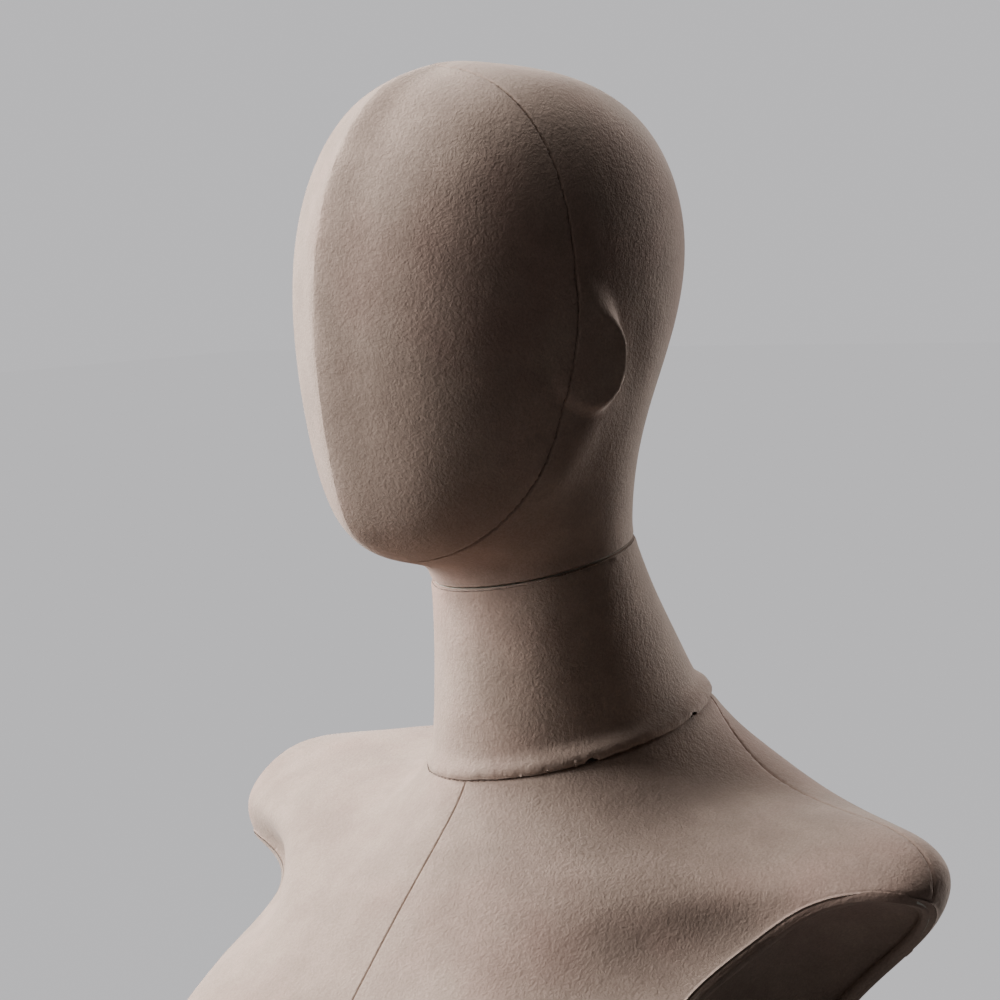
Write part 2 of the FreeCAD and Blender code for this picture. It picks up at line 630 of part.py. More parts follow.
def torso():
    cover, core = walls(UPPER)
    above_waist = half_space(Vec(0, 0, WAIST_Z + PART_GAP / 2), Vec(0, 0, 1))
    below_neck = half_space(NECK_BASE - NECK_BASE_UP * (SEAM_GAP / 2), NECK_BASE_UP * -1)
    middle_seam = both_sides(Vec(0, 0, 0), Vec(1, 0, 0))

    cover = keep(cover, above_waist, below_neck)
    core = keep(core, above_waist, below_neck)
    inner = UPPER[LET_IN]
    for side, name, half in ((1, "left", middle_seam[0]), (-1, "right", middle_seam[1])):
        seam_point = Vec(side * SHOULDER_SEAM.x, SHOULDER_SEAM.y, SHOULDER_SEAM.z)
        seam_front = Vec(side * SHOULDER_SEAM_FRONT.x, SHOULDER_SEAM_FRONT.y, SHOULDER_SEAM_FRONT.z)
        front, back = both_sides(seam_point, unit(seam_front))
        panel = keep(cover, half).cut(arm_hollow(side))
        write("torso_cover_front_" + name, keep(panel, front))
        write("torso_cover_back_" + name, keep(panel, back))
        core = core.cut(arm_hollow(side, CORE_OUT))

        beside = half_space(Vec(side * 90, 0, 0), Vec(side, 0, 0))
        recess = ARM_RECESS
        pad = keep(inner, beside, arm_hollow(side, recess + FABRIC)).cut(arm_hollow(side, recess))
        board = keep(inner, beside, arm_hollow(side, recess + CORE_OUT + ARM_BOARD))
        board = board.cut(arm_hollow(side, recess + CORE_OUT))
        write("arm_hollow_cover_" + name, pad)
        write("arm_hollow_board_" + name, board)
    write("torso_core", core)


# ---------------------------------------------------------------- neck
def neck():
    cover, core = walls(NECKS)
    above_base = half_space(NECK_BASE + NECK_BASE_UP * (SEAM_GAP / 2), NECK_BASE_UP)
    below_joint = half_space(JOINT - NECK_UP * (PART_GAP / 2), NECK_UP * -1)
    write("neck_cover", keep(cover, above_base, below_joint))
    write("neck_core", keep(core, above_base, below_joint))

    foot = NECK_BASE + NECK_BASE_UP * (SEAM_GAP / 2)
    foot_board = keep(NECKS[LET_IN], slab(foot, NECK_BASE_UP, BOARD))
    shoulder_board = keep(UPPER[LET_IN], slab(foot - NECK_BASE_UP * SEAM_GAP, NECK_BASE_UP * -1, BOARD))
    bolt_length = 2 * BOARD + SEAM_GAP
    bolt_top = foot + NECK_BASE_UP * BOARD
    bolts = []
    for side in (-1, 1):
        place = bolt_top + unit(Vec(1, 0, NECK_BASE_LEAN)) * (side * NECK_BOLT_X)
        bolts.append(screw(place, NECK_BASE_UP * -1, 4.0, bolt_length, 8.0, 4.0))
        hole = rod(4.0, place, NECK_BASE_UP * -1, bolt_length)
        foot_board, shoulder_board = foot_board.cut(hole), shoulder_board.cut(hole)
    write("neck_bolts", Part.makeCompound(bolts))
    write("neck_foot_board", foot_board)
    write("shoulder_board", shoulder_board)

    top = JOINT - NECK_UP * (PART_GAP / 2)
    strike_radius, strike_thick = 26.0, 2.0
    top_board = keep(NECKS[LET_IN], slab(top, NECK_UP * -1, BOARD))
    strike = rod(strike_radius, top - NECK_UP * strike_thick, NECK_UP, strike_thick)
    bore = rod(PIN_RADIUS + RUNNING_FIT, top - NECK_UP * 30, NECK_UP, 30)
    top_board = top_board.cut(strike).cut(bore)
    write("neck_strike_plate", strike.cut(bore))
    write("neck_top_board", top_board)


def locating_pin():
    """Steel pin that drops into the neck and centres the head. Its collar rests on the neck plate."""
    seat = JOINT - NECK_UP * (PART_GAP / 2)
    pin = rod(PIN_RADIUS, seat - NECK_UP * PIN_INTO_NECK, NECK_UP, PIN_INTO_NECK + PIN_INTO_HEAD)
    write("head_locating_pin", pin.fuse(rod(PIN_COLLAR_RADIUS, seat, NECK_UP, PIN_COLLAR)))


# ---------------------------------------------------------------- head
# (y, z) points of the face seam, from above the crown, down before the ears and under the jaw.
FACE_SEAM = ((-58, 1850), (-45, 1790), (-36, 1745), (-33, 1690),
             (-42, 1630), (-62, 1592), (-92, 1568), (-130, 1552))


def face_space():
    """Everything in front of the seam that runs before the ears and under the jaw."""
    seam = [Vec(-200, y, z) for y, z in FACE_SEAM]
    curve = Part.BSplineCurve()
    curve.interpolate(seam)
    closing = [seam[-1], Vec(-200, -300, 1552), Vec(-200, -300, 1850), seam[0]]
    outline = Part.Wire([curve.toShape()] + Part.makePolygon(closing).Edges)
    space = Part.Face(outline).extrude(Vec(400, 0, 0))
    space.rotate(JOINT, NECK_UP, HEAD_TURN)
    return space


def head():
    cover, core = walls(HEADS)
    above_joint = half_space(JOINT + NECK_UP * (PART_GAP / 2), NECK_UP)
    facing = FreeCAD.Rotation(NECK_UP, HEAD_TURN)
    left, right = both_sides(JOINT, facing.multVec(Vec(1, 0, 0)))
    cover = keep(cover, above_joint)
    face = cover.common(face_space())
    write("face_cover_left", keep(face, left))
    write("face_cover_right", keep(face, right))
    write("head_cover_back", cover.cut(face_space()))
    write("head_core", keep(core, above_joint))

    bottom = JOINT + NECK_UP * (PART_GAP / 2)
    magnet_radius, magnet_thick, magnet_hole = 22.0, 5.0, 10.0
    board = keep(HEADS[LET_IN], slab(bottom, NECK_UP, BOARD + 4))
    pocket = rod(magnet_radius, bottom, NECK_UP, magnet_thick)
    bore = rod(PIN_RADIUS + RUNNING_FIT, bottom, NECK_UP, 60)
    magnet = pocket.cut(rod(magnet_hole, bottom, NECK_UP, magnet_thick))
    board = board.cut(pocket).cut(bore)
    across = facing.multVec(unit(Vec(1, 0, JOINT_LEAN)))
    magnet, board = screw_ring("head_magnet_screws", bottom + NECK_UP * 2.4, NECK_UP, across, 16, 2, 9,
                               magnet, board)
    write("head_magnet", magnet)
    write("head_board", board)


base()
hips_and_legs()
waist()
torso()
neck()
locating_pin()
head()
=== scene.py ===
import math
import random

import bmesh
import bpy
import numpy as np
from mathutils import Matrix, Quaternion, Vector
from mathutils.bvhtree import BVHTree
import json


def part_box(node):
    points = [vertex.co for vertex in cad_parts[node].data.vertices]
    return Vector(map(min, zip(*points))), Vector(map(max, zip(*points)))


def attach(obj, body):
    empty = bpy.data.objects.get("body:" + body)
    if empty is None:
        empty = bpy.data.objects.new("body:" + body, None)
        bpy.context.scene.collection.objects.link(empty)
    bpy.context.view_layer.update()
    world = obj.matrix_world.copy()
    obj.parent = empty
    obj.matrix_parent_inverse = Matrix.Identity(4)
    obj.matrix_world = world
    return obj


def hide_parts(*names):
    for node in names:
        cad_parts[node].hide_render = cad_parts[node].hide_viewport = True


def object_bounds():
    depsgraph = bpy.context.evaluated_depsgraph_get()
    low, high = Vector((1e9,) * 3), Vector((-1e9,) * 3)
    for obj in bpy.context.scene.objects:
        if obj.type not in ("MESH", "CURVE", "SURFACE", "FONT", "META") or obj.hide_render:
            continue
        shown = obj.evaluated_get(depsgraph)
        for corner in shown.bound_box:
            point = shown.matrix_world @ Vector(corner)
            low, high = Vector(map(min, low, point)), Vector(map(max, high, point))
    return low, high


# Looks of the fabric-covered mannequin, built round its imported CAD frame. Metres.
# +Z up, -Y is the way the chest faces, +X is the mannequin's left.

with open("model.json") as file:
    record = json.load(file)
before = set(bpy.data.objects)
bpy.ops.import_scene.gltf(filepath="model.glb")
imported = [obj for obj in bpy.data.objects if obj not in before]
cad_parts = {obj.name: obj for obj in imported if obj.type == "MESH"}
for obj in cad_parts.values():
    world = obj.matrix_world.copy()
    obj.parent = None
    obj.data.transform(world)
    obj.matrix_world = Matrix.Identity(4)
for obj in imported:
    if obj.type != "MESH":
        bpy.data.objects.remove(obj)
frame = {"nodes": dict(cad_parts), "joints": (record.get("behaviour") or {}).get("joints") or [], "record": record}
cad_low, cad_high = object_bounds()
random.seed(7)

MM = 0.001
JOINTS = {joint["name"]: joint for joint in frame["joints"]}

# ------------------------------------------------------------ places from the frame
NECK_UP = Vector(JOINTS["head_turn"]["axis"]).normalized()
NECK_JOINT = Vector(JOINTS["head_turn"]["pos_m"])
LEG_SLIDE = Vector(JOINTS["leg_unhook"]["axis"]).normalized()
LEG_OUT = Vector((LEG_SLIDE.z * -1, 0, LEG_SLIDE.x)).normalized()
ROD_UP = Vector(JOINTS["body_lift"]["axis"]).normalized()
WAIST_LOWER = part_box("waist_board_lower")[1].z
WAIST_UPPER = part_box("waist_board_upper")[0].z
FLOOR = cad_low.z

HEAD_TURN = math.radians(-10)
NECK_BASE = Vector((0, 25.0, 1491.5)) * MM
NECK_BASE_UP = Vector((-0.05, -0.166, 1)).normalized()
SHOULDER_SEAM = np.array((165, 36.5, 1454)) * MM
SHOULDER_SEAM_FRONT = np.array((-0.25, -1, 0.2)) / np.linalg.norm((-0.25, -1, 0.2))
# The arm hollow, front to back: y, middle (x, z), half width, half height. In millimetres.
ARM_HOLLOW = ((-112, 172, 1350, 10, 12), (-92, 176, 1362, 46, 56), (-50, 184, 1368, 61, 74),
              (5, 192, 1359, 61, 74), (40, 198, 1350, 58, 70), (58, 200, 1346, 16, 18))
ARM_HOLLOW_DROP = 8         # the right hollow sits this much lower
HIP_CUT = Vector((-6, 0, 792)) * MM
MIDLINE = 2 * MM            # the right thigh's cut stops here, and the left thigh begins
ROD_FOOT = Vector((72, 74, 10)) * MM
ROD_HOLE = 9.8 * MM
ROD_HOLE_TOP = 340 * MM     # the hole's cut ends this far up the rod
ROD_PLUG = (292 * MM, 11.2 * MM, 85 * MM)   # middle's height up the rod, radius, length
GROIN = (0.74, 0.80, 0.93, 0.99)            # heights where the flow starts, is full, fades and ends
CROTCH = (0.03, 0.72, 0.85)                 # half width, bottom and top of the crotch
LINING_DEPTH = 3 * MM       # the shell's inside wall lies deeper than this under the covers

HEAD_VOXEL = 1.8 * MM
TORSO_VOXEL = 2.2 * MM
LEG_VOXEL = 3.0 * MM
SMOOTH_ROUNDS = 8           # takes out a remeshed skin's steps
GROIN_ROUNDS = 40           # flows the thighs into the hips

SEAM_WIDTH = 0.8 * MM
SEAM_DEPTH = 1.1 * MM
ARM_RIM = 5.0 * MM          # roundness of the arm hollows' edge
CUT_MARGIN = 9 * MM         # the remeshed skin is true to the covers up to here from the thigh's cut
SHELL_BACK = 1.6 * MM       # the shell's cut stands this far behind the hollow's wall
SIDE_LINE = -3 * MM         # y of the seam between the front and back covers of the hips and legs
JOINT_GAP = 1.5 * MM        # half of the thin joint under the head
FLOOR_HALF = 30.0

# Profiles for roll_edge: how far toward the edge's direction, then how far into the body.
JOINT_RIM = ((0.55 * MM, 0.12 * MM), (0.95 * MM, 0.5 * MM), (1.15 * MM, 1.2 * MM), (1.15 * MM, 2.6 * MM))
NECK_HEM = ((0.7 * MM, 0.5 * MM), (1.1 * MM, 1.4 * MM), (1.1 * MM, 3.5 * MM))
NECK_OPENING = ((0.3 * MM, 1.0 * MM), (0.3 * MM, 5 * MM))
CUT_RIM = ((0.6 * MM, 0.15 * MM), (1.0 * MM, 0.5 * MM), (1.2 * MM, 1.3 * MM))
ROD_RIM = ((0.3 * MM, 0.6 * MM), (0.3 * MM, 3 * MM))


# ------------------------------------------------------------ node materials
class Nodes:
    """A short way to write a node material."""

    def __init__(self, name):
        self.material = bpy.data.materials.new(name)
        self.material.use_nodes = True
        self.tree = self.material.node_tree
        self.tree.nodes.clear()
        self.shader = self.add("ShaderNodeBsdfPrincipled")
        out = self.add("ShaderNodeOutputMaterial")
        self.link(self.shader.outputs[0], out.inputs["Surface"])
        self.place = self.add("ShaderNodeTexCoord").outputs["Object"]

    def add(self, kind, **values):
        node = self.tree.nodes.new(kind)
        for key, value in values.items():
            setattr(node, key, value)
        return node

    def link(self, a, b):
        self.tree.links.new(a, b)

    def noise(self, scale, detail=3.0, roughness=0.5, stretch=None):
        node = self.add("ShaderNodeTexNoise")
        node.inputs["Scale"].default_value = scale
        node.inputs["Detail"].default_value = detail
        node.inputs["Roughness"].default_value = roughness
        place = self.place
        if stretch:
            mapping = self.add("ShaderNodeMapping")
            mapping.inputs["Scale"].default_value = stretch
            self.link(place, mapping.inputs["Vector"])
            place = mapping.outputs["Vector"]
        self.link(place, node.inputs["Vector"])
        return node.outputs["Fac"]

    def ramp(self, value, stops):
        node = self.add("ShaderNodeValToRGB")
        ramp = node.color_ramp
        while len(ramp.elements) < len(stops):
            ramp.elements.new(0.5)
        for element, (position, colour) in zip(ramp.elements, stops):
            element.position = position
            element.color = (*colour, 1) if len(colour) == 3 else colour
        self.link(value, node.inputs["Fac"])
        return node.outputs["Color"]

    def mix(self, factor, a, b, blend="MIX"):
        node = self.add("ShaderNodeMix", data_type="RGBA", blend_type=blend)
        for value, socket in ((factor, node.inputs["Factor"]), (a, node.inputs[6]), (b, node.inputs[7])):
            if hasattr(value, "links"):
                self.link(value, socket)
            else:
                socket.default_value = (*value, 1) if isinstance(value, tuple) else value
        return node.outputs[2]

    def bump(self, height, distance, strength=1.0, before=None):
        node = self.add("ShaderNodeBump")
        node.inputs["Strength"].default_value = strength
        node.inputs["Distance"].default_value = distance
        self.link(height, node.inputs["Height"])
        if before is not None:
            self.link(before, node.inputs["Normal"])
        return node.outputs["Normal"]

    def finish(self, colour, roughness, normal=None, **values):
        for value, name in ((colour, "Base Color"), (roughness, "Roughness"), (normal, "Normal")):
            if value is None:
                continue
            if hasattr(value, "links"):
                self.link(value, self.shader.inputs[name])
            elif isinstance(value, tuple):
                self.shader.inputs[name].default_value = (*value, 1)
            else:
                self.shader.inputs[name].default_value = value
        for name, value in values.items():
            self.shader.inputs[name.replace("_", " ")].default_value = value
        return self.material


def suede():
    """Taupe brushed suede: short dull nap, soft cloudy colour, faint pink and brown marks."""
    n = Nodes("suede_cover")
    clouds = n.ramp(n.noise(7, 4, 0.55), ((0.30, (0.385, 0.288, 0.238)), (0.70, (0.470, 0.362, 0.305))))
    blush = n.ramp(n.noise(10, 3, 0.6), ((0.50, (0, 0, 0)), (0.72, (0.62, 0.62, 0.62))))
    colour = n.mix(blush, clouds, (0.405, 0.262, 0.222))
    rubbed = n.ramp(n.noise(48, 5, 0.62), ((0.40, (0.91, 0.91, 0.91)), (0.62, (1.05, 1.05, 1.05))))
    colour = n.mix(1.0, colour, rubbed, "MULTIPLY")
    nap = n.noise(950, 2, 0.55)
    specks = n.ramp(nap, ((0.32, (0.88, 0.875, 0.87)), (0.70, (1.08, 1.08, 1.08))))
    colour = n.mix(1.0, colour, specks, "MULTIPLY")
    pebble = n.bump(n.noise(430, 3, 0.6), 0.0008, 0.5)
    normal = n.bump(nap, 0.0004, 0.6, pebble)
    return n.finish(colour, 0.92, normal, Sheen_Weight=0.24, Sheen_Roughness=0.45,
                    Sheen_Tint=(1.0, 0.93, 0.86, 1), Specular_IOR_Level=0.06)


def felt():
    n = Nodes("felt")
    fuzz = n.noise(1400, 4, 0.7)
    colour = n.ramp(fuzz, ((0.3, (0.018, 0.018, 0.019)), (0.7, (0.055, 0.053, 0.052))))
    return n.finish(colour, 0.97, n.bump(fuzz, 0.0006, 0.8), Sheen_Weight=0.3)


def plywood():
    n = Nodes("plywood")
    grain = n.noise(26, 6, 0.6, (1, 9, 9))
    colour = n.ramp(grain, ((0.30, (0.36, 0.235, 0.125)), (0.70, (0.60, 0.445, 0.275))))
    return n.finish(colour, 0.68, n.bump(grain, 0.0006, 0.4))


def glass_fibre():
    n = Nodes("glass_fibre")
    strands = n.noise(210, 4, 0.6, (1, 1, 4))
    colour = n.ramp(strands, ((0.30, (0.50, 0.48, 0.41)), (0.70, (0.69, 0.67, 0.60))))
    return n.finish(colour, 0.52, n.bump(strands, 0.0005, 0.5))


def steel(name, light, dark, roughness, brushed):
    """Metal with fine brushing or casting marks and a slightly uneven polish."""
    n = Nodes(name)
    marks = n.noise(60, 5, 0.6, brushed)
    colour = n.ramp(marks, ((0.3, dark), (0.7, light)))
    polish = n.ramp(n.noise(24, 4, 0.6), (
        (0.3, (roughness * 0.8,) * 3), (0.7, (roughness * 1.25,) * 3)))
    return n.finish(colour, polish, n.bump(marks, 0.0002, 0.25), Metallic=1.0)


def thread():
    n = Nodes("seam_thread")
    twist = n.noise(2600, 2, 0.5)
    colour = n.ramp(twist, ((0.3, (0.16, 0.12, 0.10)), (0.7, (0.27, 0.21, 0.175))))
    return n.finish(colour, 0.85, n.bump(twist, 0.0002, 0.5))


MATERIALS = {
    "suede_cover": suede(),
    "felt": felt(),
    "plywood": plywood(),
    "glass_fibre": glass_fibre(),
    "base_steel": steel("base_steel", (0.60, 0.59, 0.575), (0.47, 0.462, 0.45), 0.30, (1, 22, 1)),
    "rod_steel": steel("rod_steel", (0.74, 0.74, 0.74), (0.62, 0.62, 0.62), 0.14, (12, 12, 1)),
    "fitting_steel": steel("fitting_steel", (0.52, 0.52, 0.53), (0.38, 0.38, 0.39), 0.42, (8, 8, 2)),
    "zinc_steel": steel("zinc_steel", (0.68, 0.67, 0.62), (0.52, 0.52, 0.50), 0.34, (6, 6, 6)),
    "magnet": steel("magnet", (0.66, 0.66, 0.68), (0.58, 0.58, 0.60), 0.16, (4, 4, 4)),
}
THREAD = thread()


def dress_frame():
    """Gives every CAD piece that stays in sight its own finish."""
    for row in frame["record"]["subparts"]:
        node = frame["nodes"][row["node"]]
        node.data.materials.clear()
        node.data.materials.append(MATERIALS[row["material_slot"]])


# ------------------------------------------------------------ skins from the frame
def merged(nodes, extra=()):
    """One temporary mesh object that holds the CAD nodes' surfaces."""
    bm = bmesh.new()
    for name in nodes:
        bm.from_mesh(frame["nodes"][name].data)
    for mesh in extra:
        bm.from_mesh(mesh)
    mesh = bpy.data.meshes.new("merged")
    bm.to_mesh(mesh)
    bm.free()
    obj = bpy.data.objects.new("merged", mesh)
    bpy.context.scene.collection.objects.link(obj)
    return obj


def parts_of(count, edges):
    """The loose part that each vertex belongs to."""
    label = np.arange(count)
    a, b = edges[:, 0], edges[:, 1]
    while True:
        low = np.minimum(label[a], label[b])
        before = label.copy()
        np.minimum.at(label, a, low)
        np.minimum.at(label, b, low)
        label = label[label]
        if (label == before).all():
            return label


def smoothed(co, edges, rounds, weight=1.0, hold_size=True):
    """Evens out the small steps of a remeshed surface. hold_size keeps it from shrinking."""
    pull, push = 0.5, 0.52
    a, b = edges[:, 0], edges[:, 1]
    degree = np.bincount(edges.ravel(), minlength=len(co)).astype(float)[:, None]
    for step in range(rounds):
        co = co + toward_neighbours(co, a, b, degree) * pull * weight
        if hold_size:
            co = co - toward_neighbours(co, a, b, degree) * push * weight
    return co


def toward_neighbours(co, a, b, degree):
    """From each point to the middle of its neighbours, along the edges from a to b."""
    total = np.zeros_like(co)
    np.add.at(total, a, co[b])
    np.add.at(total, b, co[a])
    return total / degree - co


def outer_skin(nodes, voxel, extra=(), relax=None):
    """The outside of a group of CAD nodes as one smooth, evenly meshed bmesh.
    It is smoothed further by relax(points), from 0 to 1, where that is given."""
    obj = merged(nodes, extra)
    modifier = obj.modifiers.new("remesh", "REMESH")
    modifier.mode = "VOXEL"
    modifier.voxel_size = voxel
    modifier.use_smooth_shade = True
    graph = bpy.context.evaluated_depsgraph_get()
    mesh = bpy.data.meshes.new_from_object(obj.evaluated_get(graph))
    bpy.data.objects.remove(obj)
    co = np.empty(len(mesh.vertices) * 3)
    mesh.vertices.foreach_get("co", co)
    co = co.reshape(-1, 3)
    edges = np.empty(len(mesh.edges) * 2, int)
    mesh.edges.foreach_get("vertices", edges)
    edges = edges.reshape(-1, 2)
    label = parts_of(len(co), edges)
    sizes = {k: np.ptp(co[label == k], axis=0).sum() for k in np.unique(label)}
    keep = label == max(sizes, key=sizes.get)
    co = smoothed(co, edges, SMOOTH_ROUNDS)
    if relax:
        co = smoothed(co, edges, GROIN_ROUNDS, relax(co)[:, None], hold_size=False)
    mesh.vertices.foreach_set("co", co.ravel())
    bm = bmesh.new()
    bm.from_mesh(mesh)
    bpy.data.meshes.remove(mesh)
    bm.verts.ensure_lookup_table()
    drop = [bm.verts[int(i)] for i in np.flatnonzero(~keep)]
    bmesh.ops.delete(bm, geom=drop, context="VERTS")
    bm.normal_update()
    return bm


# ------------------------------------------------------------ working on a skin
def points(bm):
    return np.array([v.co[:] for v in bm.verts])


def cut_along(bm, field, level=0.0):
    """Adds a line of edges where field(points) equals level. Returns the vertices on it.
    A vertex close to the line moves onto it, so that no sliver is left."""
    close = 0.16
    bm.verts.index_update()
    value = field(points(bm)) - level
    on_line = {}
    crossing = []
    for edge in bm.edges:
        a, b = edge.verts
        va, vb = value[a.index], value[b.index]
        if (va < 0) != (vb < 0):
            crossing.append((edge, a, b, va / (va - vb)))
    for edge, a, b, t in crossing:
        near, share = (a, t) if t < 0.5 else (b, 1 - t)
        if share < close and near not in on_line:
            near.co = a.co.lerp(b.co, t)
            on_line[near] = True
    for edge, a, b, t in crossing:
        if a in on_line or b in on_line:
            continue
        vert = bmesh.utils.edge_split(edge, a, t)[1]
        on_line[vert] = True
    bmesh.ops.connect_verts(bm, verts=list(on_line))
    return list(on_line)


def move_along_normal(bm, amount):
    """Moves every vertex out along its normal by amount(points), in metres."""
    bm.normal_update()
    shift = amount(points(bm))
    for vert, distance in zip(bm.verts, shift):
        if abs(distance) > 1e-7:
            vert.co += vert.normal * float(distance)
    bm.normal_update()


def drop_faces(bm, faces):
    """Throws away faces, and the vertices that nothing holds any more."""
    bmesh.ops.delete(bm, geom=faces, context="FACES")
    loose = [v for v in bm.verts if not v.link_faces]
    bmesh.ops.delete(bm, geom=loose, context="VERTS")


def drop_where(bm, field, level=0.0):
    """Cuts the skin along a line and throws away the side where field is below level."""
    cut_along(bm, field, level)
    bm.faces.index_update()
    middles = np.array([f.calc_center_median()[:] for f in bm.faces])
    gone = field(middles) < level
    drop_faces(bm, [f for f in bm.faces if gone[f.index]])


def seam(bm, field, width=SEAM_WIDTH, depth=SEAM_DEPTH):
    """Presses a narrow sewn line into the skin along field = 0."""
    cut_along(bm, field, width)
    cut_along(bm, field, -width)
    line = cut_along(bm, field, 0.0)
    bm.normal_update()
    for vert in line:
        vert.co -= vert.normal * depth
    return line


def evened(values, links, rounds):
    """Averages vectors with their neighbours along an edge line."""
    for step in range(rounds):
        fresh = {}
        for v in values:
            total = sum((values[w] for w in links[v]), Vector())
            fresh[v] = values[v] * 0.5 + total * (0.5 / len(links[v]))
        values = fresh
    return values


def add_row(bm, edges, previous, fresh):
    """Joins two rows of vertices, one beyond the other, with faces that match the open edges' own."""
    for edge in edges:
        a, b = edge.verts
        face = edge.link_faces[0]
        if not any(loop.vert == b and loop.link_loop_next.vert == a for loop in face.loops):
            a, b = b, a
        bm.faces.new((previous[a], previous[b], fresh[b], fresh[a]))


def roll_edge(bm, edges, toward, profile, even=6, through=False):
    """Turns an open edge in. Each step of the profile is (along toward, into the body).
    through makes the steps inward longer where they cross the wall at a slant."""
    verts = list(dict.fromkeys(v for e in edges for v in e.verts))
    links = {v: [] for v in verts}
    for edge in edges:
        a, b = edge.verts
        links[a].append(b)
        links[b].append(a)
    place = evened({v: v.co.copy() for v in verts}, links, even)
    direction = {v: toward(place[v]) for v in verts}
    flat = evened({v: v.normal - direction[v] * v.normal.dot(direction[v]) for v in verts}, links, even * 3)
    slant = {}
    for v in verts:
        v.co = place[v]
        slant[v] = 1 / max(flat[v].length, 0.3) if through else 1.0
        flat[v].normalize()
    previous = {v: v for v in verts}
    for along, inward in profile:
        fresh = {v: bm.verts.new(place[v] + direction[v] * along - flat[v] * inward * slant[v])
                 for v in verts}
        add_row(bm, edges, previous, fresh)
        previous = fresh


def surface_of(nodes):
    """The CAD nodes' surfaces, to find the nearest point on."""
    shape = bmesh.new()
    for name in nodes:
        shape.from_mesh(frame["nodes"][name].data)
    surface = BVHTree.FromBMesh(shape)
    shape.free()
    return surface


def grow_edge(bm, edges, along, distances, nodes):
    """Carries an open edge on over the CAD covers' surface, as far as the cut that it stops at."""
    surface = surface_of(nodes)
    previous = {v: v for v in dict.fromkeys(v for e in edges for v in e.verts)}
    for v in previous:
        v.co = surface.find_nearest(v.co)[0]
    step = {}
    for v in previous:
        tangent = (along - v.normal * along.dot(v.normal)).normalized()
        step[v] = tangent / max(tangent.dot(along), 0.3)
    for distance in distances:
        fresh = {v: bm.verts.new(surface.find_nearest(v.co + step[v] * distance)[0])
                 for v in previous}
        add_row(bm, edges, previous, fresh)
        previous = fresh
    bm.normal_update()


def rounded(radius, *further):
    """A quarter-round profile for roll_edge, then further steps."""
    angles = [math.radians(15 * k) for k in range(1, 7)]
    return tuple((radius * math.sin(a), radius * (1 - math.cos(a))) for a in angles) + further


def open_edges(bm, near=None):
    return [e for e in bm.edges if len(e.link_faces) == 1 and (
        near is None or (near(e.verts[0].co) and near(e.verts[1].co)))]


def piece(bm, name, body, nodes, keep=None, slot="suede_cover", material=None):
    """Makes a finished object from the faces of a skin for which keep(middles) is true."""
    part = bm.copy()
    if keep is not None:
        part.faces.index_update()
        middles = np.array([f.calc_center_median()[:] for f in part.faces])
        stays = keep(middles)
        drop_faces(part, [f for f in part.faces if not stays[f.index]])
    mesh = bpy.data.meshes.new(name)
    part.to_mesh(mesh)
    part.free()
    mesh.polygons.foreach_set("use_smooth", [True] * len(mesh.polygons))
    mesh.materials.append(material or MATERIALS[slot])
    obj = bpy.data.objects.new(name, mesh)
    bpy.context.scene.collection.objects.link(obj)
    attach(obj, body)
    if nodes:
        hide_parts(*nodes)
    return obj


def plane_field(point, normal):
    origin, direction = np.array(point), np.array(normal)
    return lambda p: (p - origin) @ direction


# ------------------------------------------------------------ stitches
def line_paths(line):
    """The vertices of a cut line, in order, as lists of points."""
    line = dict.fromkeys(line)
    links = {v: [e.other_vert(v) for e in v.link_edges if e.other_vert(v) in line] for v in line}
    ordered = sorted(line, key=lambda v: (len(links[v]) != 1, round(v.co.z, 5), round(v.co.x, 5),
                                          round(v.co.y, 5)))
    seen = set()
    paths = []
    for first in ordered:
        if first in seen:
            continue
        path = [first]
        seen.add(first)
        while True:
            following = [v for v in links[path[-1]] if v not in seen]
            if not following:
                break
            following.sort(key=lambda v: ((v.co - path[-1].co).length, v.co.z))
            path.append(following[0])
            seen.add(following[0])
        paths.append(([v.co.copy() for v in path], [v.normal.copy() for v in path]))
    return paths


def stitches(paths, pitch=3.6 * MM, length=2.3 * MM, radius=0.32 * MM, lift=0.15 * MM):
    """Short raised threads along sewn lines, as one bmesh."""
    made = bmesh.new()
    for places, normals in paths:
        if len(places) < 4:
            continue
        gone = 0.0
        for a, b, normal in zip(places, places[1:], normals):
            step = (b - a).length
            while gone <= step:
                middle = a.lerp(b, gone / max(step, 1e-9)) + normal * lift
                stitch = length * random.uniform(0.85, 1.1)
                add_thread(made, middle, (b - a).normalized(), normal, stitch, radius)
                gone += pitch * random.uniform(0.9, 1.1)
            gone -= step
    return made


def add_thread(bm, middle, along, up, length, radius):
    side = along.cross(up).normalized()
    up = side.cross(along)
    rings = []
    for t, swell in ((-0.5, 0.15), (-0.38, 0.8), (0.0, 1.0), (0.38, 0.8), (0.5, 0.15)):
        dip = -radius * 0.9 * (abs(t) * 2) ** 2
        centre = middle + along * (length * t) + up * dip
        spokes = [side * math.cos(k * math.pi / 3) + up * math.sin(k * math.pi / 3) for k in range(6)]
        rings.append([bm.verts.new(centre + spoke * radius * swell) for spoke in spokes])
    for a, b in zip(rings, rings[1:]):
        for k in range(6):
            bm.faces.new((a[k], a[(k + 1) % 6], b[(k + 1) % 6], b[k]))
    bm.faces.new(rings[0][::-1])
    bm.faces.new(rings[-1])


# ------------------------------------------------------------ head
def to_head(p):
    """Points in the head's own frame, where the face looks along -Y."""
    turn = np.array(Quaternion(NECK_UP, -HEAD_TURN).to_matrix())
    return (p - np.array(NECK_JOINT)) @ turn.T + np.array(NECK_JOINT)


SIDE_SEAM = np.array(((-58, 1850), (-45, 1790), (-36, 1745), (-33, 1690), (-42, 1630), (-62, 1592),
                      (-92, 1568), (-130, 1552))) * MM


